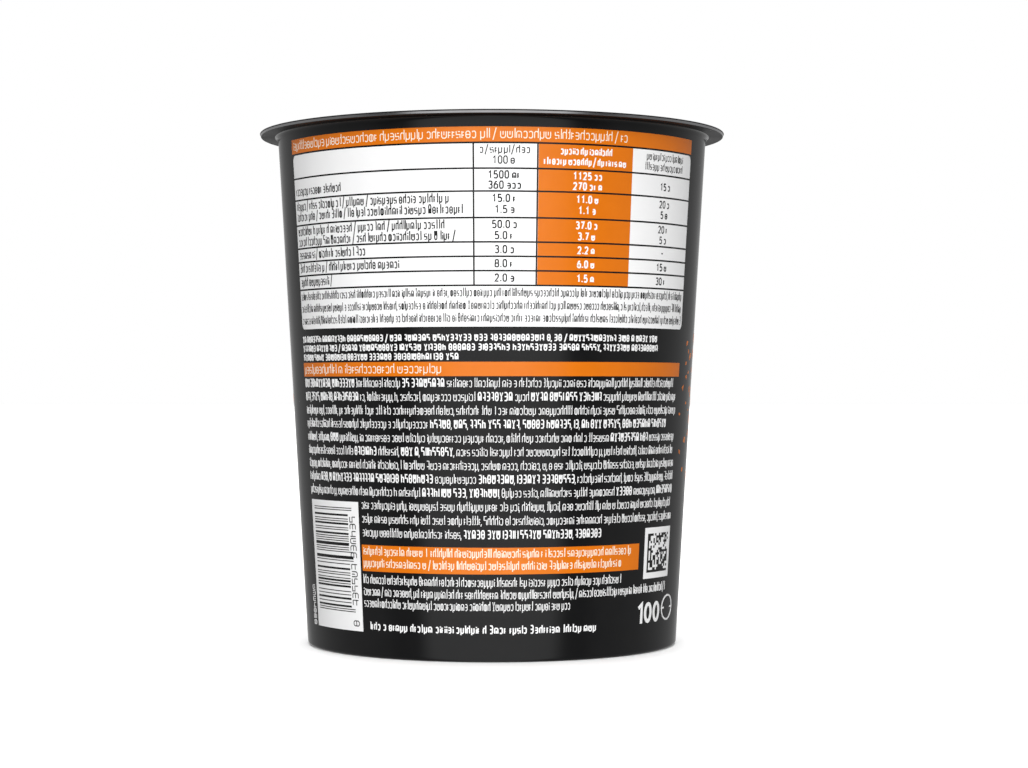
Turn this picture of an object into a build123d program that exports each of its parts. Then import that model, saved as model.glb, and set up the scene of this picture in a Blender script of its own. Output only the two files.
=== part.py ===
from build123d import *
import math
import os

# Instant noodle cup, shut, standing on its foot.
# Millimetres, +Z up, origin at the centre of the foot's resting plane.
# The printed panel faces -Y.

# ---- driving dimensions -------------------------------------------------
HEIGHT = 106.15            # foot plane to the top of the lid's sealed rim
FOOT_RADIUS = 38.47        # outer wall, carried down to the foot plane
MOUTH_RADIUS = 44.78       # outer wall, carried up to the full height
FOOT_ROUNDING = 0.8        # outer bottom edge of the wall

RIM_RADIUS = 48.35         # outer edge of the cup's sealing flange
RIM_THICKNESS = 0.50       # sealing flange
RIM_EDGE_ROUNDING = 0.18   # lower outer edge of the flange
RIM_UNDER_FILLET = 1.0     # wall into the underside of the flange

FOOT_RING_WIDTH = 2.6      # flat ring that the cup stands on
FOOT_RECESS_DEPTH = 2.6    # raised bottom inside the ring
FOOT_RECESS_DRAFT = 1.1    # the recess narrows by this much on its way up
FOOT_RECESS_ROUNDING = 0.7

LID_RADIUS = 48.50         # peel-off lid, a little proud of the flange
LID_THICKNESS = 0.22
LID_PANEL_RADIUS = 43.2    # unsealed middle of the lid, slightly raised
LID_PANEL_RISE = 0.30
LID_PANEL_BLEND = 1.6      # width of the slope from the seal to the middle

TAB_WIDTH = 17.0           # pull tab, folded over on to the lid at the back
TAB_LENGTH = 13.0
TAB_THICKNESS = 0.24
TAB_CORNER = 5.5

# ---- derived sizes ------------------------------------------------------
LID_UNDER = HEIGHT - LID_THICKNESS          # lid's underside on the flange
RIM_UNDER = LID_UNDER - RIM_THICKNESS       # flange's underside


def wall_radius(z):
    """Outer radius of the straight conical wall at height z."""
    return FOOT_RADIUS + (MOUTH_RADIUS - FOOT_RADIUS) * z / HEIGHT


def turned(points):
    """Solid of revolution of a closed profile of (radius, height) points."""
    with BuildPart() as made:
        with BuildSketch(Plane.XZ):
            with BuildLine():
                Polyline(*points, close=True)
            make_face()
        revolve(axis=Axis.Z)
    return made.part


def panel_slope(level, steps=8):
    """S-shaped slope from the sealed ring at level in to the raised middle."""
    out = []
    for i in range(steps + 1):
        s = i / steps
        lift = LID_PANEL_RISE * (0.5 - 0.5 * math.cos(math.pi * s))
        out.append((LID_PANEL_RADIUS + LID_PANEL_BLEND * (1 - s),
                    level + lift))
    return out


# ---- cup: wall, foot, sealing flange and contents, all one shut solid ----
def make_cup():
    lean = math.degrees(math.atan2(MOUTH_RADIUS - FOOT_RADIUS, HEIGHT))
    recess_foot = wall_radius(0.0) - FOOT_RING_WIDTH
    recess_top = recess_foot - FOOT_RECESS_DRAFT

    with BuildPart() as made:
        with BuildSketch(Plane.XZ):
            with BuildLine():
                # bottom: raised middle, draught of the recess, resting ring
                p0 = (0.0, FOOT_RECESS_DEPTH)
                p1 = (recess_top - FOOT_RECESS_ROUNDING, FOOT_RECESS_DEPTH)
                p2 = (recess_top, FOOT_RECESS_DEPTH - FOOT_RECESS_ROUNDING)
                p3 = (recess_foot, 0.0)
                Line(p0, p1)
                RadiusArc(p1, p2, FOOT_RECESS_ROUNDING)
                Line(p2, p3)
                # resting ring, rounded outer edge
                reach = FOOT_ROUNDING * math.tan(math.radians((90 - lean) / 2))
                p4 = (FOOT_RADIUS - reach, 0.0)
                up = math.radians(90 - lean)
                p5 = (FOOT_RADIUS + reach * math.cos(up),
                      reach * math.sin(up))
                Line(p3, p4)
                TangentArc(p4, p5, tangent=(1, 0))
                # straight wall up to the fillet under the flange
                corner = (wall_radius(RIM_UNDER), RIM_UNDER)
                reach = RIM_UNDER_FILLET * math.tan(
                    math.radians((90 - lean) / 2))
                p6 = (corner[0] - reach * math.cos(up),
                      corner[1] - reach * math.sin(up))
                p7 = (corner[0] + reach, RIM_UNDER)
                Line(p5, p6)
                TangentArc(p6, p7, tangent=(math.cos(up), math.sin(up)))
                # flange: underside, rounded lower edge, outer edge, top
                p8 = (RIM_RADIUS - RIM_EDGE_ROUNDING, RIM_UNDER)
                p9 = (RIM_RADIUS, RIM_UNDER + RIM_EDGE_ROUNDING)
                p10 = (RIM_RADIUS, LID_UNDER)
                Line(p7, p8)
                TangentArc(p8, p9, tangent=(1, 0))
                Line(p9, p10)
                # shut top, rising from the sealed ring to the middle panel
                crest = [p10] + panel_slope(LID_UNDER) + [
                    (0.0, LID_UNDER + LID_PANEL_RISE)]
                Polyline(*crest)
                Line(crest[-1], p0)
            make_face()
        revolve(axis=Axis.Z)
    return made.part


# ---- lid: sealed ring, raised middle panel, folded pull tab --------------
def make_lid():
    edge = LID_THICKNESS * 0.35
    top = HEIGHT
    under = [(0.0, LID_UNDER + LID_PANEL_RISE)]
    under += panel_slope(LID_UNDER)[::-1]
    outer = [(LID_RADIUS - edge, LID_UNDER), (LID_RADIUS, LID_UNDER + edge),
             (LID_RADIUS, top - edge), (LID_RADIUS - edge, top)]
    upper_side = panel_slope(top) + [(0.0, top + LID_PANEL_RISE)]
    disc = turned(under + outer + upper_side)

    # the tab starts at a fold across the rim and lies back on the panel
    fold_y = math.sqrt((LID_RADIUS - edge) ** 2 - (TAB_WIDTH / 2) ** 2)
    with BuildPart() as tab:
        with BuildSketch(Plane.XY.offset(top - 0.04)):
            with Locations((0, fold_y - TAB_LENGTH / 2)):
                Rectangle(TAB_WIDTH, TAB_LENGTH)
        extrude(amount=LID_PANEL_RISE + TAB_THICKNESS + 0.04)
        inner = [e for e in tab.edges().filter_by(Axis.Z)
                 if e.center().Y < fold_y - TAB_LENGTH / 2]
        fillet(inner, radius=TAB_CORNER)
        upper = [e for e in tab.edges().group_by(Axis.Z)[-1]]
        fillet(upper, radius=0.1)
    # nothing of the tab reaches below the film
    below = turned([(0.0, 0.0), (LID_RADIUS, 0.0), (LID_RADIUS, LID_UNDER)]
                   + under[::-1])
    return disc + (tab.part - below)


NODES = {"cup": make_cup(), "lid": make_lid()}

os.makedirs("parts", exist_ok=True)
for name, shape in NODES.items():
    solids = shape.solids()
    assert len(solids) == 1, (name, len(solids))
    solid = solids[0]
    solid.label = name
    export_step(solid, "parts/" + name + ".step")
    box = solid.bounding_box()
    print(name, "volume cm3", round(solid.volume / 1000, 3),
          "size", [round(v, 2) for v in (box.size.X, box.size.Y, box.size.Z)])
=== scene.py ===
import math
import random

import bmesh
import bpy
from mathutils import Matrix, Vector


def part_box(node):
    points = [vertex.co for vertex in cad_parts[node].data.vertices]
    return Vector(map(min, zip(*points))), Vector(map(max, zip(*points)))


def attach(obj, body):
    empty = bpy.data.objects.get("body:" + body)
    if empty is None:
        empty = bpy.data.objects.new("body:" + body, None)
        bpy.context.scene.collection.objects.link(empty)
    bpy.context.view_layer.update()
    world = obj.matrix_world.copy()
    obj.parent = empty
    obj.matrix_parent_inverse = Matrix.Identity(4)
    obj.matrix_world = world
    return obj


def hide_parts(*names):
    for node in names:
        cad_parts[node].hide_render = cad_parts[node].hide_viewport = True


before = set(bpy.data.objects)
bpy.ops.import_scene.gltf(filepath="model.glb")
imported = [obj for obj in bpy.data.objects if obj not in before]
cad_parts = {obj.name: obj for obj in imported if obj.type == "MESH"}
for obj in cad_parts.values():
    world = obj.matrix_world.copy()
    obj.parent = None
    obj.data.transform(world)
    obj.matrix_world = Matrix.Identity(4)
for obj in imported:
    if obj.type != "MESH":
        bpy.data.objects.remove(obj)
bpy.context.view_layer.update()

MM = 0.001

# --------------------------------------------------------------------------
# sizes of the cup, in millimetres; they repeat the CAD model's own numbers
# and are checked against its boxes below
# --------------------------------------------------------------------------
HEIGHT = 106.15
FOOT_R = 38.47
MOUTH_R = 44.78
FOOT_ROUND = 0.8
RIM_R = 48.35
RIM_T = 0.50
RIM_FILLET = 1.0
RING_W = 2.6
RECESS = 2.6
LID_R = 48.50
LID_T = 0.22
PANEL_R = 43.2
PANEL_RISE = 0.30
PANEL_BLEND = 1.6
TAB_W = 17.0
TAB_L = 13.0
TAB_T = 0.24
LID_UNDER = HEIGHT - LID_T
RIM_UNDER = LID_UNDER - RIM_T
LEAN = math.atan2(MOUTH_R - FOOT_R, HEIGHT)

cup_lo, cup_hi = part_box("cup")
lid_lo, lid_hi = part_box("lid")
assert abs(cup_hi.x / MM - RIM_R) < 0.15 and abs(cup_lo.z) < 1e-5
assert abs(lid_hi.x / MM - LID_R) < 0.15
assert abs(lid_hi.z / MM - (HEIGHT + PANEL_RISE + TAB_T)) < 0.1


def wall_r(z):
    return FOOT_R + (MOUTH_R - FOOT_R) * z / HEIGHT


# --------------------------------------------------------------------------
# mesh helpers
# --------------------------------------------------------------------------
def make_object(name, verts, faces, material, sharp_deg=None, smooth=True):
    mesh = bpy.data.meshes.new(name)
    mesh.from_pydata(verts, [], faces)
    mesh.update()
    ob = bpy.data.objects.new(name, mesh)
    bpy.context.scene.collection.objects.link(ob)
    mats = material if isinstance(material, (list, tuple)) else [material]
    for m in mats:
        mesh.materials.append(m)
    if smooth:
        mesh.polygons.foreach_set("use_smooth", [True] * len(mesh.polygons))
    if sharp_deg is not None:
        bm = bmesh.new()
        bm.from_mesh(mesh)
        limit = math.radians(sharp_deg)
        for e in bm.edges:
            if len(e.link_faces) == 2:
                e.smooth = e.calc_face_angle(0.0) < limit
        bm.to_mesh(mesh)
        bm.free()
    mesh.update()
    return ob


def revolve(profile, segs):
    """Closed solid of revolution of (r, z) points in mm, listed so that the
    outside lies to the right of the path; r = 0 ends become poles."""
    verts, rings = [], []
    for r, z in profile:
        if r < 1e-9:
            rings.append([len(verts)])
            verts.append((0.0, 0.0, z * MM))
        else:
            first = len(verts)
            for k in range(segs):
                a = 2 * math.pi * k / segs
                verts.append((r * math.sin(a) * MM, -r * math.cos(a) * MM,
                              z * MM))
            rings.append(list(range(first, first + segs)))
    faces = []
    for lower, upper in zip(rings, rings[1:]):
        for k in range(segs):
            n = (k + 1) % segs
            if len(lower) == 1 and len(upper) > 1:
                faces.append((lower[0], upper[n], upper[k]))
            elif len(upper) == 1 and len(lower) > 1:
                faces.append((lower[k], lower[n], upper[0]))
            elif len(lower) > 1 and len(upper) > 1:
                faces.append((lower[k], lower[n], upper[n], upper[k]))
    return verts, faces


def arc(cx, cz, r, a0, a1, n):
    return [(cx + r * math.cos(math.radians(a0 + (a1 - a0) * i / n)),
             cz + r * math.sin(math.radians(a0 + (a1 - a0) * i / n)))
            for i in range(n + 1)]


class Ink:
    """Thin closed slabs of print on the cone. Local places are given as an
    angle from the front in degrees and a height in mm."""

    def __init__(self, top, bottom=-0.02, seat=None):
        self.top, self.bottom = top, bottom
        self.verts, self.faces = [], []
        self.seat = seat or self.on_wall

    @staticmethod
    def on_wall(th, z, off):
        r = wall_r(z) + off / math.cos(LEAN)
        a = math.radians(th)
        return (r * math.sin(a) * MM, -r * math.cos(a) * MM, z * MM)

    def per(self, z):
        """Millimetres per unit of the first coordinate at height z."""
        return math.radians(1.0) * wall_r(z) if self.seat is self.on_wall \
            else 1.0

    def ring_faces(self, loop_t, loop_b):
        n = len(loop_t)
        for i in range(n):
            j = (i + 1) % n
            self.faces.append((loop_b[i], loop_b[j], loop_t[j], loop_t[i]))

    def add_points(self, pts, off):
        first = len(self.verts)
        self.verts.extend(self.seat(th, z, off) for th, z in pts)
        return list(range(first, first + len(pts)))

    def poly(self, pts):
        """Small convex outline, counter-clockwise seen from outside."""
        t = self.add_points(pts, self.top)
        b = self.add_points(pts, self.bottom)
        self.faces.append(tuple(t))
        self.faces.append(tuple(reversed(b)))
        self.ring_faces(t, b)

    def field(self, th0, th1, lo, hi, step=1.0):
        """Large field between two heights, which may be functions of the
        angle. Divided along the angle so that it follows the wall."""
        flo = lo if callable(lo) else (lambda t: lo)
        fhi = hi if callable(hi) else (lambda t: hi)
        n = max(1, math.ceil((th1 - th0) / step))
        ths = [th0 + (th1 - th0) * i / n for i in range(n + 1)]
        lower = [(t, flo(t)) for t in ths]
        upper = [(t, fhi(t)) for t in ths]
        lt, ut = self.add_points(lower, self.top), self.add_points(upper, self.top)
        lb, ub = (self.add_points(lower, self.bottom),
                  self.add_points(upper, self.bottom))
        for i in range(n):
            self.faces.append((lt[i], lt[i + 1], ut[i + 1], ut[i]))
            self.faces.append((ub[i], ub[i + 1], lb[i + 1], lb[i]))
        self.ring_faces(lt + ut[::-1], lb + ub[::-1])

    def stroke(self, pts, w, closed=False):
        """Line of width w mm through (th, z) points, mitred at its bends."""
        per = self.per(sum(p[1] for p in pts) / len(pts))
        flat = [(p[0] * per, p[1]) for p in pts]
        n = len(flat)
        if n < 2:
            return
        left, right = [], []
        for i in range(n):
            a = flat[i - 1] if (i > 0 or closed) else None
            b = flat[(i + 1) % n] if (i < n - 1 or closed) else None
            dirs = []
            for p, q in ((a, flat[i]), (flat[i], b)):
                if p is None or q is None:
                    continue
                dx, dy = q[0] - p[0], q[1] - p[1]
                ln = math.hypot(dx, dy) or 1e-9
                dirs.append((dx / ln, dy / ln))
            if len(dirs) == 1:
                nx, ny = -dirs[0][1], dirs[0][0]
                k = 1.0
            else:
                nx = -(dirs[0][1] + dirs[1][1])
                ny = dirs[0][0] + dirs[1][0]
                ln = math.hypot(nx, ny) or 1e-9
                nx, ny = nx / ln, ny / ln
                c = -nx * dirs[0][1] + ny * dirs[0][0]
                k = 1.0 / max(0.55, c)
            h = 0.5 * w * k
            left.append(((flat[i][0] + nx * h) / per, flat[i][1] + ny * h))
            right.append(((flat[i][0] - nx * h) / per, flat[i][1] - ny * h))
        lt, rt = self.add_points(left, self.top), self.add_points(right, self.top)
        lb, rb = (self.add_points(left, self.bottom),
                  self.add_points(right, self.bottom))
        m = n if closed else n - 1
        for i in range(m):
            j = (i + 1) % n
            self.faces.append((rt[i], rt[j], lt[j], lt[i]))
            self.faces.append((lb[i], lb[j], rb[j], rb[i]))
            self.faces.append((rb[i], rb[j], rt[j], rt[i]))
            self.faces.append((lb[j], lb[i], lt[i], lt[j]))
        if not closed:
            self.faces.append((rb[-1], lb[-1], lt[-1], rt[-1]))
            self.faces.append((lb[0], rb[0], rt[0], lt[0]))

    def done(self, name, material, smooth_deg=35):
        ob = make_object(name, self.verts, self.faces, material,
                         sharp_deg=smooth_deg)
        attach(ob, "root")
        return ob


# --------------------------------------------------------------------------
# marks: made-up signs of plain strokes that stand where lettering would be
# x runs 0..1 over the sign's width, y 0..1 over the height of a small sign
# --------------------------------------------------------------------------
CX, CY = 0.26, 0.19
UP, DOWN = 1.48, -0.34


def m_ring(x0=0.0, x1=1.0, y0=0.0, y1=1.0):
    cx, cy = CX * (x1 - x0), CY * (y1 - y0)
    return ([(x0 + cx, y0), (x1 - cx, y0), (x1, y0 + cy), (x1, y1 - cy),
             (x1 - cx, y1), (x0 + cx, y1), (x0, y1 - cy), (x0, y0 + cy)], True)


def m_arch(x0=0.0, x1=1.0, y0=0.0, y1=1.0):
    cx, cy = CX * (x1 - x0), CY * (y1 - y0)
    return ([(x0, y0), (x0, y1 - cy), (x0 + cx, y1), (x1 - cx, y1),
             (x1, y1 - cy), (x1, y0)], False)


def m_bowl(x0=0.0, x1=1.0, y0=0.0, y1=1.0):
    cx, cy = CX * (x1 - x0), CY * (y1 - y0)
    return ([(x0, y1), (x0, y0 + cy), (x0 + cx, y0), (x1 - cx, y0),
             (x1, y0 + cy), (x1, y1)], False)


def m_line(*pts):
    return (list(pts), False)


# (share, width, strokes)
SMALL_MARKS = [
    (4, 1.00, [m_ring(), m_line((0.0, 0.5), (1.0, 0.5))]),
    (14, 0.92, [m_line((0.06, 0.86), (0.26, 1.0), (0.74, 1.0), (1.0, 0.81),
                      (1.0, 0.19), (0.74, 0.0), (0.26, 0.0), (0.06, 0.14))]),
    (5, 1.00, [m_line((0.0, 0.52), (1.0, 0.52), (1.0, 0.19), (0.74, 0.0),
                      (0.2, 0.0)),
               m_line((1.0, 0.52), (1.0, 0.81), (0.74, 1.0), (0.1, 1.0))]),
    (5, 1.15, [m_arch(), m_line((0.5, 0.0), (0.5, 0.55))]),
    (5, 1.15, [m_bowl(), m_line((0.5, 0.45), (0.5, 1.0))]),
    (8, 0.62, [m_line((0.0, 0.0), (0.0, 1.0)), m_line((0.0, 0.86), (1.0, 0.86)),
               m_line((0.0, 0.4), (1.0, 0.4))]),
    (7, 0.55, [m_line((1.0, UP), (1.0, 0.0)), m_line((0.0, 0.95), (1.0, 0.95)),
               m_line((1.0, 0.06), (0.0, 0.06))]),
    (6, 0.30, [m_line((0.5, 0.0), (0.5, UP))]),
    (7, 0.30, [m_line((0.5, 0.0), (0.5, 0.78)), m_line((0.5, 1.0), (0.5, 1.22))]),
    (10, 0.95, [m_bowl(), m_line((0.0, 0.1), (0.0, DOWN))]),
    (10, 0.95, [m_arch(), m_line((1.0, 0.8), (1.0, UP))]),
    (2, 1.10, [m_ring(), m_line((0.5, 0.0), (0.5, 1.0))]),
    (5, 0.95, [m_line((0.0, 1.0), (0.0, 0.5), (1.0, 0.5), (1.0, 0.0)),
               m_line((0.0, 0.04), (0.55, 0.04)),
               m_line((0.45, 0.96), (1.0, 0.96))]),
]
TALL_MARKS = [
    (9, 1.00, [m_ring(), m_line((0.0, 0.5), (1.0, 0.5))]),
    (9, 1.00, [m_line((0.0, 0.5), (1.0, 0.5), (1.0, 0.16), (0.74, 0.0),
                      (0.0, 0.0)),
               m_line((1.0, 0.5), (1.0, 0.84), (0.74, 1.0), (0.0, 1.0))]),
    (9, 1.05, [m_arch(), m_line((0.5, 0.0), (0.5, 0.55))]),
    (8, 1.05, [m_bowl(), m_line((0.5, 0.45), (0.5, 1.0))]),
    (8, 0.85, [m_line((1.0, 0.0), (1.0, 1.0)), m_line((0.0, 1.0), (1.0, 1.0)),
               m_line((0.0, 0.34), (1.0, 0.34))]),
    (7, 0.95, [m_line((0.0, 0.0), (0.0, 1.0)), m_line((0.0, 0.66), (1.0, 0.66)),
               m_line((1.0, 0.66), (1.0, 0.0))]),
    (7, 1.00, [m_line((0.0, 1.0), (0.5, 0.45), (1.0, 1.0)),
               m_line((0.5, 0.45), (0.5, 0.0)), m_line((0.1, 0.0), (0.9, 0.0))]),
    (6, 0.95, [m_line((1.0, 1.0), (0.0, 1.0), (0.0, 0.55), (1.0, 0.55)),
               m_line((1.0, 0.55), (1.0, 0.0))]),
    (5, 0.28, [m_line((0.5, 0.0), (0.5, 1.0))]),
]


def pick(rng, table):
    x = rng.uniform(0, sum(t[0] for t in table))
    for t in table:
        x -= t[0]
        if x <= 0:
            return t
    return table[-1]


# plain figures for the cells that hold numbers
D_RING = [m_ring()]
FIGURES = {
    "0": D_RING,
    "1": [m_line((0.12, 0.76), (0.6, 1.0), (0.6, 0.0))],
    "2": [m_line((0.0, 0.8), (0.12, 0.95), (0.35, 1.0), (0.7, 1.0),
                 (0.95, 0.86), (0.97, 0.68), (0.8, 0.48), (0.0, 0.0),
                 (1.0, 0.0))],
    "3": [m_line((0.02, 0.9), (0.26, 1.0), (0.72, 1.0), (0.95, 0.88),
                 (0.95, 0.66), (0.72, 0.54), (0.36, 0.54)),
          m_line((0.72, 0.54), (1.0, 0.41), (1.0, 0.14), (0.74, 0.0),
                 (0.24, 0.0), (0.0, 0.1))],
    "4": [m_line((0.74, 0.0), (0.74, 1.0), (0.0, 0.25), (1.0, 0.25))],
    "5": [m_line((0.94, 1.0), (0.12, 1.0), (0.06, 0.56), (0.68, 0.6),
                 (1.0, 0.44), (1.0, 0.16), (0.74, 0.0), (0.24, 0.0),
                 (0.0, 0.1))],
    "6": [m_line((0.86, 0.96), (0.4, 0.9), (0.04, 0.56), (0.0, 0.2)),
          m_ring(0.0, 1.0, 0.0, 0.6)],
    "7": [m_line((0.0, 1.0), (1.0, 1.0), (0.36, 0.0))],
    "8": [m_ring(0.06, 0.94, 0.52, 1.0), m_ring(0.0, 1.0, 0.0, 0.52)],
    "9": [m_line((0.14, 0.04), (0.6, 0.1), (0.96, 0.44), (1.0, 0.8)),
          m_ring(0.0, 1.0, 0.4, 1.0)],
    ".": [m_line((0.5, -0.02), (0.5, 0.14))],
    "-": [m_line((0.1, 0.45), (0.9, 0.45))],
}


def lay(ink, strokes, th, z, w, h, weight, turn=False):
    """Draws strokes in a cell w mm wide and h mm tall whose lower left
    corner is at (th, z). turn: the cell reads upwards instead."""
    per = ink.per(z)
    for pts, closed in strokes:
        if turn:
            out = [(th - y * h / per, z + x * w) for x, y in pts]
        else:
            out = [(th + x * w / per, z + y * h) for x, y in pts]
        ink.stroke(out, weight, closed)


def words(ink, rng, th0, th1, base, xh, pitch, weight, tall=False, cap=1.36,
          bold_runs=(), bold_weight=None, slash=0.0, comma=0.12,
          mean_word=6.0, gap=0.62):
    """A line of made-up signs from th0 to th1 degrees."""
    per = ink.per(base)
    x, end = 0.0, (th1 - th0) * per
    while True:
        left = end - x
        if left < pitch * 0.8:
            break
        count = max(1, min(13, int(rng.gauss(mean_word, mean_word * 0.48))))
        th_here = th0 + x / per
        bold = any(a <= th_here <= b for a, b in bold_runs)
        caps = tall or bold
        for i in range(count):
            share, width, strokes = pick(rng, TALL_MARKS if caps
                                         else SMALL_MARKS)
            cell = pitch * (1.16 if (caps and not tall) else 1.0)
            wdt = weight if not bold else (bold_weight or weight)
            adv = cell * (width * 0.92 + 0.10)
            sign = max(0.05, adv - wdt - 0.30 * cell * 0.62)
            if x + adv > end + 0.15 * pitch:
                return
            h = (xh * cap if caps else xh)
            if not caps and i == 0 and rng.random() < 0.10:
                _, _, strokes = pick(rng, TALL_MARKS)
                h = xh * cap
            if width < 0.35:
                centre = x + adv / 2
                lay(ink, strokes, th0 + (centre - 0.5 * sign) / per,
                    base + wdt / 2, sign, h - wdt, wdt)
            else:
                lay(ink, strokes, th0 + (x + wdt / 2) / per, base + wdt / 2,
                    sign, h - wdt, wdt)
            x += adv
        if rng.random() < comma:
            ink.stroke([(th0 + (x + 0.02 * pitch) / per, base + 0.16 * xh),
                        (th0 + (x - 0.10 * pitch) / per, base - 0.20 * xh)],
                       weight)
            x += 0.22 * pitch
        x += gap * pitch * rng.uniform(0.85, 1.15)
        if rng.random() < slash and x + pitch < end:
            ink.stroke([(th0 + x / per, base - 0.22 * xh),
                        (th0 + (x + 0.55 * pitch) / per, base + 1.42 * xh)],
                       weight)
            x += (0.75 + gap) * pitch


def figures(ink, text, th_mid, base, h, w, weight, unit=0, rng=None):
    """Plain figures centred on th_mid, with unit made-up signs after them."""
    per = math.radians(1.0) * wall_r(base)
    adv = [0.45 * w if c == "." else w for c in text]
    total = sum(adv) + (unit * w * 0.95 + 0.35 * w if unit else 0.0)
    x = -total / 2
    for c, a in zip(text, adv):
        cell = a - weight - 0.16 * w if c != "." else a * 0.3
        off = weight / 2 + 0.08 * w if c != "." else a * 0.35
        lay(ink, FIGURES[c], th_mid + (x + off) / per, base + weight / 2,
            cell, h - weight, weight)
        x += a
    x += 0.35 * w
    for i in range(unit):
        _, width, strokes = pick(rng, SMALL_MARKS[:6])
        cell = w * 0.95 * min(1.0, width) - weight - 0.14 * w
        lay(ink, strokes, th_mid + (x + weight / 2 + 0.07 * w) / per,
            base + weight / 2, cell, h * 0.74 - weight, weight)
        x += w * 0.95


# --------------------------------------------------------------------------
# materials
# --------------------------------------------------------------------------
def node_material(name):
    m = bpy.data.materials.new(name)
    m.use_nodes = True
    nt = m.node_tree
    nt.nodes.clear()
    out = nt.nodes.new("ShaderNodeOutputMaterial")
    bsdf = nt.nodes.new("ShaderNodeBsdfPrincipled")
    nt.links.new(bsdf.outputs["BSDF"], out.inputs["Surface"])
    return m, nt, bsdf


def place(nt):
    tc = nt.nodes.new("ShaderNodeTexCoord")
    return tc.outputs["Object"]


def noise(nt, vec, scale, detail=2.0, rough=0.5, stretch=None):
    n = nt.nodes.new("ShaderNodeTexNoise")
    n.inputs["Scale"].default_value = scale
    n.inputs["Detail"].default_value = detail
    n.inputs["Roughness"].default_value = rough
    if stretch:
        mp = nt.nodes.new("ShaderNodeMapping")
        mp.inputs["Scale"].default_value = stretch
        nt.links.new(vec, mp.inputs["Vector"])
        vec = mp.outputs["Vector"]
    nt.links.new(vec, n.inputs["Vector"])
    return n.outputs["Fac"]


def span(nt, value, lo, hi, src_lo=0.3, src_hi=0.7):
    r = nt.nodes.new("ShaderNodeMapRange")
    r.inputs["From Min"].default_value = src_lo
    r.inputs["From Max"].default_value = src_hi
    r.inputs["To Min"].default_value = lo
    r.inputs["To Max"].default_value = hi
    nt.links.new(value, r.inputs["Value"])
    return r.outputs["Result"]


def blend_colour(nt, fac, a, b):
    mix = nt.nodes.new("ShaderNodeMix")
    mix.data_type = "RGBA"
    mix.inputs[6].default_value = (*a, 1)
    mix.inputs[7].default_value = (*b, 1)
    nt.links.new(fac, mix.inputs[0])
    return mix.outputs[2]


def bump(nt, height, strength, distance):
    b = nt.nodes.new("ShaderNodeBump")
    b.inputs["Strength"].default_value = strength
    b.inputs["Distance"].default_value = distance
    nt.links.new(height, b.inputs["Height"])
    return b.outputs["Normal"]


def printed(name, a, b, rough=(0.16, 0.22), ior=1.5, metallic=0.0,
            scale=240.0, bump_strength=0.05, bump_scale=900.0,
            bump_distance=0.00002):
    """Smooth printed or moulded surface: slight unevenness of tone and
    gloss, and a fine orange-peel relief."""
    m, nt, bsdf = node_material(name)
    p = place(nt)
    tone = noise(nt, p, scale, 3.0, 0.55)
    nt.links.new(blend_colour(nt, span(nt, tone, 0.0, 1.0), a, b),
                 bsdf.inputs["Base Color"])
    gloss = noise(nt, p, scale * 0.35, 2.0, 0.5)
    nt.links.new(span(nt, gloss, *rough), bsdf.inputs["Roughness"])
    bsdf.inputs["IOR"].default_value = ior
    bsdf.inputs["Metallic"].default_value = metallic
    if bump_strength:
        nt.links.new(bump(nt, noise(nt, p, bump_scale, 2.0, 0.5),
                          bump_strength, bump_distance),
                     bsdf.inputs["Normal"])
    return m


BLACK = printed("cup_black_plastic", (0.0060, 0.0061, 0.0064),
                (0.0074, 0.0074, 0.0077), rough=(0.13, 0.17))
WHITE = printed("print_white_ink", (0.885, 0.885, 0.888),
                (0.905, 0.905, 0.905), rough=(0.20, 0.26))
ORANGE = printed("print_orange_ink", (0.676, 0.160, 0.0032),
                 (0.700, 0.169, 0.0042), rough=(0.16, 0.22))
DARK = printed("print_black_ink", (0.0062, 0.0062, 0.0066),
               (0.0085, 0.0085, 0.0088), rough=(0.16, 0.22))
CREAM = printed("print_cream_ink", (0.88, 0.80, 0.66), (0.90, 0.83, 0.70),
                rough=(0.20, 0.26))
# flange edge: a light grey metal colour on the cup's black plastic flange, a painted
# highlight where the rounded edge catches the light
RIM_EDGE_HIGHLIGHT = printed("rim_edge_painted_highlight", (0.60, 0.60, 0.61), (0.68, 0.68, 0.69),
                   rough=(0.16, 0.22), metallic=1.0, bump_strength=0.0)
# flange underside: the same black plastic painted darker, painted shade under the
# flange
RIM_BELOW_SHADE = printed("rim_under_painted_shade", (0.0045, 0.0045, 0.0048),
                    (0.0058, 0.0058, 0.0060), rough=(0.42, 0.52), ior=1.3)
LID_BLACK = printed("lid_black_print", (0.010, 0.010, 0.0105),
                    (0.014, 0.014, 0.0145), rough=(0.22, 0.32),
                    bump_strength=0.12, bump_scale=420.0,
                    bump_distance=0.00005)

TAB_MAT = printed("lid_tab_foil", (0.50, 0.50, 0.51), (0.60, 0.60, 0.61),
                  rough=(0.28, 0.38), metallic=1.0, bump_strength=0.1,
                  bump_scale=500.0, bump_distance=0.00004)

# --------------------------------------------------------------------------
# cup: wall, foot and flange
# --------------------------------------------------------------------------
up = math.pi / 2 - LEAN
reach = FOOT_ROUND * math.tan(up / 2)
lean_deg = math.degrees(LEAN)
recess_r = FOOT_R - RING_W
profile = [(0.0, RECESS), (12.0, RECESS), (24.0, RECESS)]
profile += arc(recess_r - 1.1 - 0.7, RECESS - 0.7, 0.7, 90, 0, 6)
profile += [(recess_r, 0.0)]
profile += arc(FOOT_R - reach, FOOT_ROUND, FOOT_ROUND, -90, -lean_deg, 8)
start_z = FOOT_ROUND * (1 - math.sin(LEAN))
corner = (wall_r(RIM_UNDER), RIM_UNDER)
f_reach = RIM_FILLET * math.tan(up / 2)
wall_top = corner[1] - f_reach * math.sin(up)
for i in range(1, 12):
    z = start_z + (wall_top - start_z) * i / 12
    profile.append((wall_r(z), z))
fillet = arc(corner[0] + f_reach, RIM_UNDER - RIM_FILLET, RIM_FILLET,
             180 - lean_deg, 90, 10)
profile += fillet
profile += [(RIM_R - 0.18, RIM_UNDER)]
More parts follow.
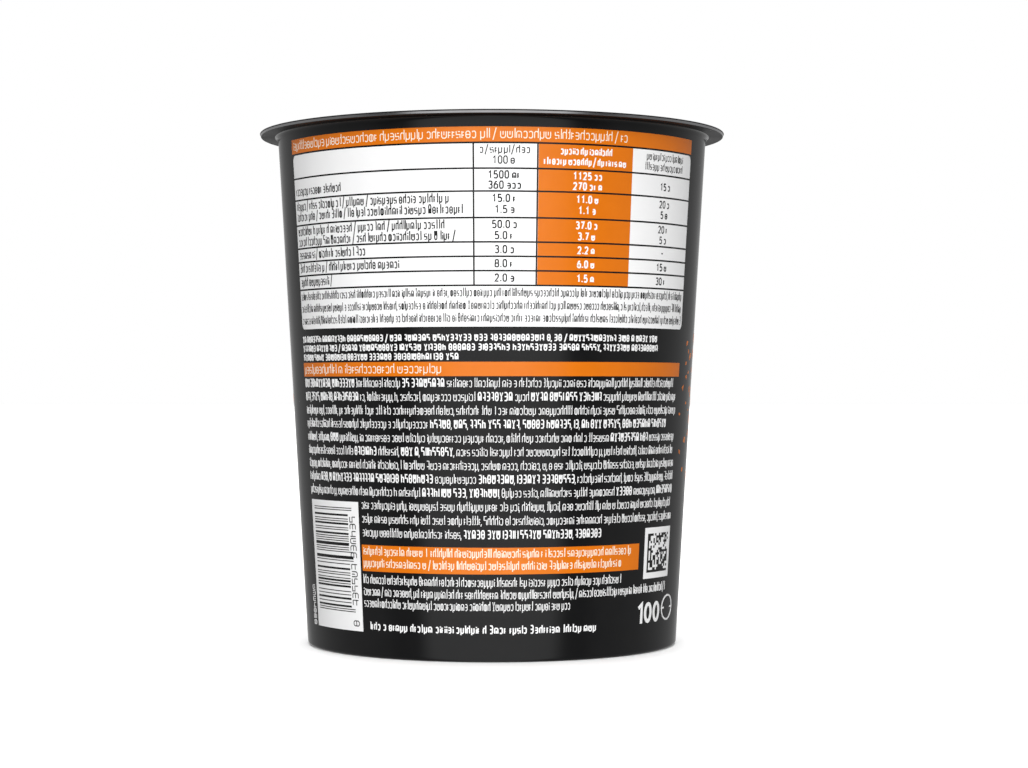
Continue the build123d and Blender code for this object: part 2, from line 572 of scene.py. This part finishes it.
profile += arc(RIM_R - 0.18, RIM_UNDER + 0.18, 0.18, -90, 0, 6)[1:]
profile += [(RIM_R, LID_UNDER - 0.02), (RIM_R - 0.05, LID_UNDER),
            (PANEL_R + PANEL_BLEND, LID_UNDER)]
for i in range(1, 9):
    s = i / 8
    profile.append((PANEL_R + PANEL_BLEND * (1 - s),
                    LID_UNDER + PANEL_RISE * (0.5 - 0.5 * math.cos(math.pi * s))
                    - 0.004))
profile += [(0.0, LID_UNDER + PANEL_RISE - 0.004)]
verts, faces = revolve(profile, 384)
cup = make_object("cup_body", verts, faces, [BLACK, RIM_EDGE_HIGHLIGHT, RIM_BELOW_SHADE], sharp_deg=30)
edge_lo = (RIM_UNDER + 0.04) * MM
for poly in cup.data.polygons:
    c = poly.center
    # the flange's outer edge takes the painted highlight
    if c.z > edge_lo and math.hypot(c.x, c.y) > (RIM_R - 0.17) * MM:
        poly.material_index = 1
    # the flange's flat underside takes the painted shade
    elif abs(c.z - RIM_UNDER * MM) < 0.03 * MM:
        poly.material_index = 2
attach(cup, "root")
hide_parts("cup")

# --------------------------------------------------------------------------
# lid: sealed ring and raised middle
# --------------------------------------------------------------------------
chamf = LID_T * 0.35
rise = [(PANEL_R + PANEL_BLEND * (1 - i / 10),
         PANEL_RISE * (0.5 - 0.5 * math.cos(math.pi * i / 10)))
        for i in range(11)]
lid_profile = [(0.0, LID_UNDER + PANEL_RISE)]
lid_profile += [(r, LID_UNDER + h) for r, h in rise[::-1]]
lid_profile += [(LID_R - chamf, LID_UNDER), (LID_R, LID_UNDER + chamf),
                (LID_R, HEIGHT - chamf), (LID_R - chamf, HEIGHT)]
lid_profile += [(47.4, HEIGHT), (47.1, HEIGHT - 0.05), (46.1, HEIGHT - 0.05),
                (45.8, HEIGHT)]
lid_profile += [(r, HEIGHT + h) for r, h in rise]
lid_profile += [(r, HEIGHT + PANEL_RISE) for r in
                (41, 38, 35, 32, 29, 26, 23, 20, 17, 14, 11, 8, 5, 2)]
lid_profile += [(0.0, HEIGHT + PANEL_RISE)]
verts, faces = revolve(lid_profile, 384)


def film(x, y):
    """Slight waviness of the stretched film, in mm, held at the seal."""
    r = math.hypot(x, y)
    if r > PANEL_R + 1.0:
        return 0.0
    hold = min(1.0, (PANEL_R + 1.0 - r) / 9.0)
    a = math.atan2(y, x)
    w = (0.045 * math.sin(3 * a + 0.6) * (r / PANEL_R)
         + 0.05 * math.sin(0.13 * x + 0.9) * math.sin(0.11 * y + 0.3)
         + 0.035 * math.sin(0.31 * x - 0.2 * y + 1.7)
         - 0.10 * (1 - (r / PANEL_R) ** 2))
    return hold * w


shaped = []
for x, y, z in verts:
    if z > (HEIGHT + 0.5 * PANEL_RISE) * MM:
        z += film(x / MM, y / MM) * MM
    shaped.append((x, y, z))
lid = make_object("lid_film", shaped, faces, LID_BLACK, sharp_deg=25)
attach(lid, "root")
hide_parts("lid")

# --------------------------------------------------------------------------
# print on the panel side
# --------------------------------------------------------------------------
L1, L2 = 0.030, 0.046          # tops of the ink layers over the wall


def rounded(th0, th1, lo, hi, r):
    """Lower and upper outline of a field with rounded corners of r mm."""
    def cut(t):
        per = math.radians(1.0) * wall_r((lo + hi) / 2)
        d = min((t - th0) * per, (th1 - t) * per)
        if d >= r:
            return 0.0
        d = max(0.0, d)
        return r - math.sqrt(max(0.0, r * r - (r - d) ** 2))
    return (lambda t: lo + cut(t)), (lambda t: hi - cut(t))


def field_round(ink, th0, th1, lo, hi, r=1.1, fine=0.12):
    per = math.radians(1.0) * wall_r((lo + hi) / 2)
    flo, fhi = rounded(th0, th1, lo, hi, r)
    edge = r / per
    ths = [th0 + edge * (1 - math.cos(math.pi / 2 * i / 8)) for i in range(9)]
    mid0, mid1 = th0 + edge, th1 - edge
    n = max(1, math.ceil((mid1 - mid0) / 1.0))
    ths += [mid0 + (mid1 - mid0) * i / n for i in range(1, n)]
    ths += [th1 - edge * (1 - math.cos(math.pi / 2 * i / 8))
            for i in range(8, -1, -1)]
    lower = [(t, flo(t)) for t in ths]
    upper = [(t, fhi(t)) for t in ths]
    lt, ut = ink.add_points(lower, ink.top), ink.add_points(upper, ink.top)
    lb, ub = ink.add_points(lower, ink.bottom), ink.add_points(upper, ink.bottom)
    for i in range(len(ths) - 1):
        ink.faces.append((lt[i], lt[i + 1], ut[i + 1], ut[i]))
        ink.faces.append((ub[i], ub[i + 1], lb[i + 1], lb[i]))
    ink.ring_faces(lt + ut[::-1], lb + ub[::-1])


white = Ink(L1)
orange = Ink(L1)
dark = Ink(L2, 0.0)

EDGE0, EDGE1 = -64.6, 64.7
# bands
orange.field(-65.2, 64.8, 100.38, 103.25)
orange.field(-65.3, 64.9, 55.53, 58.30)
orange.field(-40.1, 47.3, 17.20, 22.38)
# table panel; the portion column is orange
PANEL_LO, PANEL_HI = 65.05, 100.02
field_round(white, EDGE0, EDGE1, PANEL_LO, PANEL_HI)
column = Ink(L1 + 0.006, 0.0)
column.field(11.7, 38.4, 73.0, 100.02)
rows = [95.31, 90.96, 85.90, 81.26, 78.50, 75.76, 72.96]
for z in rows:
    dark.field(EDGE0, EDGE1, z - 0.165, z + 0.165)
for th in (-4.6, 11.45):
    dark.field(th - 0.21, th + 0.21, 73.0, 100.02, step=0.34)

# code boxes
white.field(-64.9, -40.9, 5.1, 30.75)
white.field(49.9, 64.6, 15.15, 25.35)

# bars of the line code, lying across, in three plain widths
rng = random.Random(4)
unit = (29.55 - 8.75) / 95.0
z = 29.55
modules = []
while sum(m for m, _ in modules) < 95:
    modules.append((rng.choice([1, 1, 1, 2, 2, 3]), len(modules) % 2 == 0))
total = sum(m for m, _ in modules)
unit = (29.55 - 8.75) / total
count = len(modules)
for i, (m, on) in enumerate(modules):
    if on:
        guard = i < 3 or i > count - 4 or abs(i - count // 2) < 3
        dark.field(-63.1, -43.7 if guard else -45.3, z - m * unit + 0.02,
                   z - 0.02)
    z -= m * unit

# square code: a plain scatter of modules in a field of its own
rng = random.Random(11)
n_mod = 16
c0, c1, q0, q1 = 51.3, 63.1, 16.35, 24.15
dw, dh = (c1 - c0) / n_mod, (q1 - q0) / n_mod
grid = [[rng.random() < 0.5 for _ in range(n_mod)] for _ in range(n_mod)]
for j in range(n_mod):
    i = 0
    while i < n_mod:
        on = grid[j][i] or i == 0 or j == 0
        if not on:
            i += 1
            continue
        k = i
        while k < n_mod and (grid[j][k] or k == 0 or j == 0):
            k += 1
        dark.field(c0 + i * dw, c0 + k * dw, q0 + j * dh, q0 + (j + 1) * dh)
        i = k

# --- lines of made-up signs ------------------------------------------------
head = Ink(L2, 0.0)
rng = random.Random(21)
words(head, rng, -64.0, 38.0, 101.02, 1.42, 1.14, 0.17, slash=0.34,
      mean_word=9.5, comma=0.0, gap=0.45)
words(head, rng, -64.5, -12.0, 56.08, 1.42, 1.16, 0.17, slash=0.4,
      mean_word=10.5, comma=0.0, gap=0.45)

table = Ink(L2, 0.0)
rng = random.Random(31)
first_col = [(91.80, -41.7), (88.80, -9.9), (86.68, -5.8), (83.78, -11.4),
             (81.66, -8.6), (79.06, -34.7), (76.36, -24.3), (73.62, -45.8)]
for base, end in first_col:
    words(table, rng, -63.6, end, base, 1.40, 0.86, 0.225, slash=0.28,
          mean_word=6.0, comma=0.0, gap=0.42)
words(table, rng, -3.1, 9.6, 98.18, 1.2, 0.98, 0.20, slash=0.5, mean_word=3.0,
      comma=0.0, gap=0.15, cap=1.3)
figures(table, "100", 2.9, 96.15, 1.58, 1.04, 0.22, unit=1, rng=rng)
value_rows = [(93.32, "1500", 2), (91.36, "360", 3), (88.84, "15.0", 1),
              (86.72, "1.5", 1), (83.86, "50.0", 1), (81.74, "5.0", 1),
              (79.06, "3.0", 1), (76.38, "8.0", 1), (73.62, "2.0", 1)]
for base, text, unit_n in value_rows:
    figures(table, text, 3.2, base, 1.60, 1.06, 0.25, unit=unit_n, rng=rng)
last_col = [(92.25, "15"), (88.80, "20"), (86.72, "5"), (83.84, "20"),
            (81.74, "5"), (79.2, "-"), (76.38, "15"), (73.62, "30")]
for base, text in last_col:
    figures(table, text, 51.4, base, 1.54, 1.10, 0.25,
            unit=0 if text == "-" else 1, rng=rng)
words(table, rng, 43.3, 60.0, 98.1, 1.2, 0.76, 0.175, mean_word=4.0,
      comma=0.0, gap=0.3)
words(table, rng, 42.8, 60.6, 96.1, 1.2, 0.76, 0.175, mean_word=4.0,
      comma=0.0, gap=0.3)

bold_cells = Ink(L2 + 0.006, 0.0)
rng = random.Random(41)
portion = [(93.32, "1125", 2), (91.36, "270", 3), (88.84, "11.0", 1),
           (86.72, "1.1", 1), (83.86, "37.0", 1), (81.74, "3.7", 1),
           (79.06, "2.2", 1), (76.38, "6.0", 1), (73.62, "1.5", 1)]
for base, text, unit_n in portion:
    figures(bold_cells, text, 24.9, base, 1.56, 1.04, 0.30, unit=unit_n,
            rng=rng)
words(bold_cells, rng, 17.3, 32.2, 98.1, 1.16, 0.86, 0.26, mean_word=5.0,
      comma=0.0, gap=0.3, slash=0.2)
words(bold_cells, rng, 13.0, 37.2, 96.1, 1.16, 0.84, 0.26, mean_word=4.2,
      comma=0.0, gap=0.3, slash=0.4)

foot = Ink(L2, 0.0)
rng = random.Random(51)
for base, a, b in ((70.82, -64.0, 64.2), (68.38, -64.0, 64.2),
                   (65.96, -64.0, 64.2)):
    words(foot, rng, a, b, base, 1.26, 0.60, 0.165, mean_word=6.5, comma=0.06,
          gap=0.42, cap=1.4)

caps = Ink(L2, 0.0)
rng = random.Random(61)
for base, b in ((62.30, 51.4), (60.46, 52.6), (58.66, -7.8)):
    words(caps, rng, -64.8, b, base, 1.0, 0.86, 0.235, tall=True, cap=1.36,
          mean_word=7.0, comma=0.06, gap=0.45, slash=0.06)

body = Ink(L2, 0.0)
rng = random.Random(71)
ingredients = [
    (53.38, -64.8, 61.8, ((-64.8, -45.0), (-28.6, -18.0))),
    (50.72, -64.8, 63.8, ((-64.8, -44.0), (-6.0, -1.5), (9.5, 27.0))),
    (48.05, -64.8, 64.4, ()),
    (45.40, -64.8, 58.0, ((-18.0, 56.5),)),
    (42.72, -64.8, 64.0, ((-55.5, -50.0), (31.5, 49.0))),
    (40.06, -64.8, 63.6, ((-42.0, -36.5), (-29.0, -14.0))),
    (37.40, -64.8, 64.4, ()),
    (34.76, -64.8, 64.6, ((-59.0, -20.0), (-14.0, 18.5))),
    (32.10, -64.8, 64.6, ((-24.0, 1.0), (30.5, 38.0), (47.5, 64.0))),
    (29.44, -39.6, 64.6, ()),
    (26.74, -39.6, 64.6, ()),
    (24.04, -39.6, 32.6, ((-10.5, 31.5),)),
]
for base, a, b, bold_runs in ingredients:
    words(body, rng, a, b, base, 1.32, 0.74, 0.130, bold_runs=bold_runs,
          bold_weight=0.22, mean_word=6.2, comma=0.22, gap=0.42, cap=1.33)

small = Ink(L2, 0.0)
rng = random.Random(81)
for base, b in ((14.76, 41.1), (12.38, 63.3), (10.08, 23.5)):
    words(small, rng, -40.0, b, base, 1.32, 0.66, 0.130, mean_word=6.5,
          comma=0.08, gap=0.42, slash=0.07)
words(small, rng, -38.0, 32.0, 5.6, 1.26, 0.90, 0.24, mean_word=6.0,
      comma=0.0, gap=0.5)

block = Ink(L2, 0.0)
rng = random.Random(91)
words(block, rng, -39.6, 44.4, 20.40, 1.30, 0.76, 0.17, mean_word=6.5,
      comma=0.05, gap=0.42, slash=0.07)
words(block, rng, -39.6, 40.3, 18.02, 1.30, 0.76, 0.17, mean_word=6.0,
      comma=0.05, gap=0.42, slash=0.07)

# signs beside the bars, reading upwards, and the small side mark
rng = random.Random(101)
code_marks = Ink(L2, 0.0)
per = math.radians(1.0) * wall_r(18.0)
zc = 10.2
for group in (6, 6):
    for _ in range(group):
        _, width, strokes = pick(rng, TALL_MARKS[:8])
        lay(code_marks, strokes, -42.35, zc, 1.0, 1.55, 0.2, turn=True)
        zc += 1.42
    zc += 0.9
lay(code_marks, TALL_MARKS[0][2], -42.35, 6.1, 1.0, 1.55, 0.2, turn=True)
side_marks = Ink(L2, 0.0)
zc = 5.2
for _ in range(7):
    _, width, strokes = pick(rng, TALL_MARKS[:8])
    lay(side_marks, strokes, -66.5, zc, 0.85, 1.35, 0.15, turn=True)
    zc += 1.18

# the large plain figure and the thin ring beside it
weight = Ink(L2, 0.0)


def oval(cx_, cz_, w, h, n=28):
    per_ = math.radians(1.0) * wall_r(cz_)
    return [(cx_ + w / 2 * math.cos(2 * math.pi * i / n) / per_,
             cz_ + h / 2 * math.sin(2 * math.pi * i / n)) for i in range(n)]


per = math.radians(1.0) * wall_r(8.3)
weight.stroke([(48.4, 9.35), (49.9, 10.1), (49.9, 6.25)], 0.74)
weight.stroke(oval(53.2, 8.3, 2.0, 3.45), 0.74, closed=True)
weight.stroke(oval(57.9, 8.3, 2.0, 3.45), 0.74, closed=True)
weight.stroke(oval(65.6, 8.75, 5.6, 4.9, n=40), 0.36, closed=True)
weight.stroke([(62.0, 8.75), (69.2, 8.75)], 0.34)

print_white = white.done("print_white_fields", WHITE)
print_orange = orange.done("print_orange_bands", ORANGE)
print_column = column.done("print_orange_column", ORANGE)
print_dark = dark.done("print_dark_lines_and_codes", DARK)
head.done("print_band_marks", CREAM)
table.done("print_table_marks", DARK)
bold_cells.done("print_portion_figures", WHITE)
foot.done("print_footnote_marks", DARK)
caps.done("print_heading_marks", WHITE)
body.done("print_body_marks", WHITE)
small.done("print_small_marks", WHITE)
block.done("print_block_marks", CREAM)
code_marks.done("print_code_marks", DARK)
side_marks.done("print_side_marks", WHITE)
weight.done("print_large_figure", WHITE)

# --------------------------------------------------------------------------
# lid: flat tab and print
# --------------------------------------------------------------------------
def lid_top(x, y):
    r = math.hypot(x, y)
    s_ = min(1.0, max(0.0, (PANEL_R + PANEL_BLEND - r) / PANEL_BLEND))
    return (HEIGHT + PANEL_RISE * (0.5 - 0.5 * math.cos(math.pi * s_))
            + (film(x, y) if s_ > 0.5 else 0.0))


def on_lid(x, y, off):
    return (x * MM, y * MM, (lid_top(x, y) + off) * MM)


tab_out = 47.67
tab_in = tab_out - TAB_L
nx, ny = 24, 30
verts, faces = [], []
for side in (0, 1):
    for j in range(ny + 1):
        y = tab_in + TAB_L * (0.5 - 0.5 * math.cos(math.pi * j / ny))
        d = max(0.0, 5.5 - (y - tab_in))
        half = TAB_W / 2 - 5.5 + math.sqrt(max(0.0, 5.5 ** 2 - d ** 2))
        half = max(half, TAB_W / 2 - 5.5)
        near = max(0.0, 1.0 - (tab_out - y) / 0.35)
        for i in range(nx + 1):
            x = half * (2 * i / nx - 1)
            edge = min(1.0, (half - abs(x)) / 0.25, (y - tab_in) / 0.25)
            mid = lid_top(x, y) + 0.5 * TAB_T
            thick = 0.5 * TAB_T * math.sqrt(max(0.0, 1 - near * near))
            thick = max(thick, 0.03) * (0.7 + 0.3 * max(0.0, edge))
            z = mid + (thick if side == 0 else -thick)
            verts.append((x * MM, y * MM, z * MM))
row = nx + 1
base_i = row * (ny + 1)
for j in range(ny):
    for i in range(nx):
        a = j * row + i
        faces.append((a, a + 1, a + row + 1, a + row))
        b = base_i + a
        faces.append((b + row, b + row + 1, b + 1, b))
border = ([i for i in range(nx + 1)]
          + [j * row + nx for j in range(1, ny + 1)]
          + [ny * row + i for i in range(nx - 1, -1, -1)]
          + [j * row for j in range(ny - 1, 0, -1)])
for a, b in zip(border, border[1:] + border[:1]):
    faces.append((base_i + a, base_i + b, b, a))
tab = make_object("lid_tab", verts, faces, TAB_MAT, sharp_deg=40)
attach(tab, "root")


def circle(cx_, cy_, r, n=64, a0=0.0, a1=360.0):
    full = abs(a1 - a0) > 359.9
    steps = n if full else n + 1
    return [(cx_ + r * math.cos(math.radians(a0 + (a1 - a0) * i / n)),
             cy_ + r * math.sin(math.radians(a0 + (a1 - a0) * i / n)))
            for i in range(steps)]


lid_orange = Ink(0.035, -0.03, seat=on_lid)
lid_orange.stroke(circle(0, 0, 40.6, 240), 1.5, closed=True)
lid_orange.stroke(circle(0, 0, 38.4, 240, 200, 340), 0.7)
rng = random.Random(131)
for _ in range(46):
    a = rng.uniform(0, 360)
    r = rng.uniform(27.5, 36.5)
    if 55 < a < 125:
        continue
    x, y = r * math.cos(math.radians(a)), r * math.sin(math.radians(a))
    if abs(y + 6) < 16 and abs(x) < 28:
        continue
    size, spin, k = rng.uniform(0.7, 2.0), rng.uniform(0, 6.28), rng.choice((3, 4, 5))
    lid_orange.poly([(x + size * math.cos(spin + 6.2832 * i / k),
                      y + size * rng.uniform(0.7, 1.0)
                      * math.sin(spin + 6.2832 * i / k)) for i in range(k)])
lid_orange.done("lid_orange_print", ORANGE)

lid_white = Ink(0.035, -0.03, seat=on_lid)
for cx_ in (-18.0, 0.0, 18.0):
    lid_white.stroke(circle(cx_, 2.0, 7.2, 72), 0.55, closed=True)
# drop, clock and fork
lid_white.stroke([(-18, 6.6), (-19.6, 3.4), (-20.6, 1.2), (-20.3, -0.7),
                  (-19.2, -1.9), (-18, -2.3), (-16.8, -1.9), (-15.7, -0.7),
                  (-15.4, 1.2), (-16.4, 3.4)], 0.55, closed=True)
lid_white.stroke(circle(0, 2.0, 4.2, 40), 0.5, closed=True)
lid_white.stroke([(0, 5.0), (0, 2.0), (2.2, 0.6)], 0.5)
lid_white.stroke([(18, -3.0), (18, 2.6)], 0.8)
lid_white.stroke([(16.1, 6.6), (16.1, 3.6), (16.8, 2.6), (19.2, 2.6),
                  (19.9, 3.6), (19.9, 6.6)], 0.55)
lid_white.stroke([(18, 2.4), (18, 6.6)], 0.55)
for i, w_ in enumerate((38, 34, 22)):
    words(lid_white, rng, -w_ / 2, w_ / 2, -11.0 - 3.1 * i, 1.35, 0.95, 0.18,
          mean_word=6.0, comma=0.05, gap=0.45)
words(lid_white, rng, -15, 15, 16.5, 2.1, 2.2, 0.42, tall=True,
      mean_word=6.0, comma=0.0, gap=0.4)
lid_white.done("lid_white_print", WHITE)

# --------------------------------------------------------------------------
# print on the far side: plain shapes in the same colours
# --------------------------------------------------------------------------
far_a = Ink(L1)
far_b = Ink(L2 + 0.004, 0.0)
far_c = Ink(L2 + 0.020, 0.0)
far_d = Ink(L2 + 0.034, 0.0)


def wave(mid, amp, turns, phase=0.0):
    return lambda t: mid + amp * math.sin(math.radians(turns * t + phase))


# orange ground with a wavy upper and lower edge
far_a.field(112, 248, wave(27.0, 1.8, 4.2, 40), wave(76.5, 2.4, 3.1, 10),
            step=0.75)
far_a.field(112, 248, 95.2, 97.0)
# dark swell under the bowl
far_b.field(112.01, 247.99, wave(28.6, 1.7, 4.2, 40),
            wave(31.4, 1.5, 3.4, 200), step=0.75)


def shape(ink, half, lo, hi, mid=180.0, n=72):
    """Field about a middle angle: lo and hi are functions of mm across."""
    per_ = math.radians(1.0) * wall_r(52)
    ths = [mid + half / per_ * math.sin(math.pi * (i / n - 0.5))
           for i in range(n + 1)]
    lower = [(t, lo((t - mid) * per_)) for t in ths]
    upper = [(t, max(lo((t - mid) * per_) + 0.02, hi((t - mid) * per_)))
             for t in ths]
    lt, ut = ink.add_points(lower, ink.top), ink.add_points(upper, ink.top)
    lb, ub = ink.add_points(lower, ink.bottom), ink.add_points(upper, ink.bottom)
    for i in range(n):
        ink.faces.append((lt[i], lt[i + 1], ut[i + 1], ut[i]))
        ink.faces.append((ub[i], ub[i + 1], lb[i + 1], lb[i]))
    ink.ring_faces(lt + ut[::-1], lb + ub[::-1])


# bowl: dark body, pale rim, heap of noodle lines, sticks and steam
shape(far_b, 24.0, lambda u: 52.5 - 15.5 * math.sqrt(max(0, 1 - (u / 24) ** 2)),
      lambda u: 52.5)
shape(far_b, 9.0, lambda u: 34.8, lambda u: 37.6)
shape(far_c, 25.5, lambda u: 51.6, lambda u: 53.4)
rng = random.Random(151)
per = math.radians(1.0) * wall_r(56)
for k in range(9):
    amp = 0.75 + 0.12 * rng.random()
    zz = 54.1 + 1.12 * k
    half = 22.5 * math.sqrt(max(0.05, 1 - (k / 9.6) ** 2))
    ph = rng.uniform(0, 6.28)
    pts = []
    n = max(24, int(half * 4))
    for i in range(n + 1):
        u = -half + 2 * half * i / n
        pts.append((180 + u / per, zz + amp * math.sin(0.95 * u + ph)))
    far_d.stroke(pts, 0.62)
shape(far_c, 23.2, lambda u: 53.3,
      lambda u: 53.3 + 11.6 * math.sqrt(max(0, 1 - (u / 23.2) ** 2)))
far_e = Ink(L2 + 0.050, 0.0)
far_e.stroke([(180 - 30 / per, 73.5), (180 + 6 / per, 55.6)], 1.1)
far_e.stroke([(180 - 27 / per, 75.8), (180 + 9 / per, 56.6)], 1.1)
for k in (-1, 0, 1):
    pts = [(180 + (8.5 + 6.5 * k + 1.3 * math.sin(0.62 * i)) / per,
            67.4 + 0.55 * i) for i in range(13)]
    far_e.stroke(pts, 0.75)
# bare name place above the bowl and two plain rules
field_round(far_c, 146, 214, 80.6, 91.4, r=2.0)
far_b.field(126, 234, 93.2, 93.7)
field_round(far_c, 164, 196, 17.6, 23.4, r=1.4)
rng = random.Random(161)
words(far_c, rng, 140, 220, 12.6, 1.5, 1.2, 0.2, mean_word=6.0, comma=0.0,
      gap=0.45)
words(far_c, rng, 148, 212, 9.6, 1.5, 1.2, 0.2, mean_word=6.0, comma=0.0,
      gap=0.45)

# chips strewn from the edge of the far artwork towards the panel
chips = Ink(L1)
rng = random.Random(171)
placed = []
for _ in range(900):
    if len(placed) >= 64:
        break
    t = 110 - 51 * rng.random() ** 1.35
    zz = 52.5 + rng.gauss(0, 1) * (4.0 + 0.18 * max(0, t - 62))
    if not 33 < zz < 76 or (t < 66.8 and 55.0 < zz < 99) or t < 66.2:
        continue
    size = rng.uniform(0.45, 1.5) * (0.85 + 0.010 * (t - 60))
    if t - size / 0.7 < 66.0:
        continue
    if any(math.hypot((t - a) * 0.72, zz - b) < size + c + 0.3
           for a, b, c in placed):
        continue
    placed.append((t, zz, size))
    spin, k = rng.uniform(0, 6.28), rng.choice((3, 4, 4, 5))
    pr = math.radians(1.0) * wall_r(zz)
    flat = rng.uniform(0.45, 1.0)
    pts = []
    for i in range(k):
        a = 6.2832 * i / k
        u, v = size * math.cos(a), size * flat * math.sin(a)
        pts.append((t + (u * math.cos(spin) - v * math.sin(spin)) / pr,
                    zz + u * math.sin(spin) + v * math.cos(spin)))
    chips.poly(pts)
    m_ = [(360 - p_[0] - 0.0, p_[1] * 0.9 + 6.0) for p_ in reversed(pts)]
    if t > 84:
        chips.poly(m_)
far_a.done("far_orange_ground", ORANGE)
far_b.done("far_dark_shapes", DARK)
far_c.done("far_cream_shapes", CREAM)
far_d.done("far_noodle_lines", ORANGE)
far_e.done("far_sticks_and_steam", DARK)
chips.done("print_orange_chips", ORANGE)

# --------------------------------------------------------------------------
# floor, lights, camera
# --------------------------------------------------------------------------
floor_mat, nt, bsdf = node_material("floor_pale")
tone = noise(nt, place(nt), 6.0, 2.0, 0.5)
nt.links.new(blend_colour(nt, span(nt, tone, 0.0, 1.0), (0.90, 0.90, 0.90),
                          (0.93, 0.93, 0.93)), bsdf.inputs["Base Color"])
bsdf.inputs["Roughness"].default_value = 0.8
bsdf.inputs["Specular IOR Level"].default_value = 0.1
s = 6.0
floor = make_object("floor", [(-s, -s, 0), (s, -s, 0), (s, s, 0), (-s, s, 0)],
                    [(0, 1, 2, 3)], floor_mat, smooth=False)
floor.visible_glossy = False
floor.visible_diffuse = False


def sun(name, direction, strength, angle):
    data = bpy.data.lights.new(name, "SUN")
    data.energy = strength
    data.angle = math.radians(angle)
    ob = bpy.data.objects.new(name, data)
    bpy.context.scene.collection.objects.link(ob)
    ob.rotation_mode = "QUATERNION"
    ob.rotation_quaternion = Vector(direction).to_track_quat("-Z", "Y")
    ob.visible_glossy = False
    return ob


sun("key_front", (0, 1, -0.17), 4.70, 60)
sun("key_back", (0, -1, -0.17), 3.6, 60)
sun("top", (0, 0, -1), 3.2, 40)

world = bpy.data.worlds.new("studio")
bpy.context.scene.world = world
world.use_nodes = True
world.cycles.sampling_method = "NONE"
nt = world.node_tree
nt.nodes.clear()
out = nt.nodes.new("ShaderNodeOutputWorld")
tc = nt.nodes.new("ShaderNodeTexCoord")
sep = nt.nodes.new("ShaderNodeSeparateXYZ")
nt.links.new(tc.outputs["Generated"], sep.inputs[0])
neg = nt.nodes.new("ShaderNodeMath"); neg.operation = "MULTIPLY"
neg.inputs[1].default_value = -1.0
nt.links.new(sep.outputs["Y"], neg.inputs[0])
at = nt.nodes.new("ShaderNodeMath"); at.operation = "ARCTAN2"
nt.links.new(sep.outputs["X"], at.inputs[0])
nt.links.new(neg.outputs[0], at.inputs[1])
ab = nt.nodes.new("ShaderNodeMath"); ab.operation = "ABSOLUTE"
nt.links.new(at.outputs[0], ab.inputs[0])
dv = nt.nodes.new("ShaderNodeMath"); dv.operation = "DIVIDE"
dv.inputs[1].default_value = math.pi
nt.links.new(ab.outputs[0], dv.inputs[0])
ramp = nt.nodes.new("ShaderNodeValToRGB")
ramp.color_ramp.interpolation = "LINEAR"
stops = [(0, 0.64), (36.5, 0.64), (46, 0.07), (58, 0.07), (70, 0.17),
         (90, 0.20), (107, 0.23), (125, 0.26), (150, 0.27), (162, 0.36),
         (172, 0.60), (180, 0.64)]
els = ramp.color_ramp.elements
els[0].position, els[1].position = 0.0, 1.0
for deg, v in stops[1:-1]:
    els.new(deg / 180.0)
for el, (deg, v) in zip(els, stops):
    el.position = deg / 180.0
    el.color = (v, v, v, 1)
nt.links.new(dv.outputs[0], ramp.inputs[0])
glow = nt.nodes.new("ShaderNodeBackground")
nt.links.new(ramp.outputs[0], glow.inputs["Color"])
ambient = nt.nodes.new("ShaderNodeBackground")
ambient.inputs["Color"].default_value = (0.28, 0.28, 0.28, 1)
seen = nt.nodes.new("ShaderNodeBackground")
seen.inputs["Color"].default_value = (1, 1, 1, 1)
lp = nt.nodes.new("ShaderNodeLightPath")
mix1 = nt.nodes.new("ShaderNodeMixShader")
nt.links.new(lp.outputs["Is Glossy Ray"], mix1.inputs[0])
nt.links.new(ambient.outputs[0], mix1.inputs[1])
nt.links.new(glow.outputs[0], mix1.inputs[2])
mix2 = nt.nodes.new("ShaderNodeMixShader")
nt.links.new(lp.outputs["Is Camera Ray"], mix2.inputs[0])
nt.links.new(mix1.outputs[0], mix2.inputs[1])
nt.links.new(seen.outputs[0], mix2.inputs[2])
nt.links.new(mix2.outputs[0], out.inputs["Surface"])

cam_data = bpy.data.cameras.new("camera")
cam_data.sensor_width = 36.0
cam_data.lens = 82.03
cam_data.shift_x = 0.0215
cam_data.shift_y = 0.0023
cam_data.clip_start, cam_data.clip_end = 0.01, 50.0
cam = bpy.data.objects.new("camera", cam_data)
bpy.context.scene.collection.objects.link(cam)
cam.location = (0.0, -0.4922, 0.05356)
cam.rotation_euler = (math.pi / 2, 0, 0)
bpy.context.scene.camera = cam

bpy.context.scene.view_settings.view_transform = "Standard"
bpy.context.scene.view_settings.look = "None"
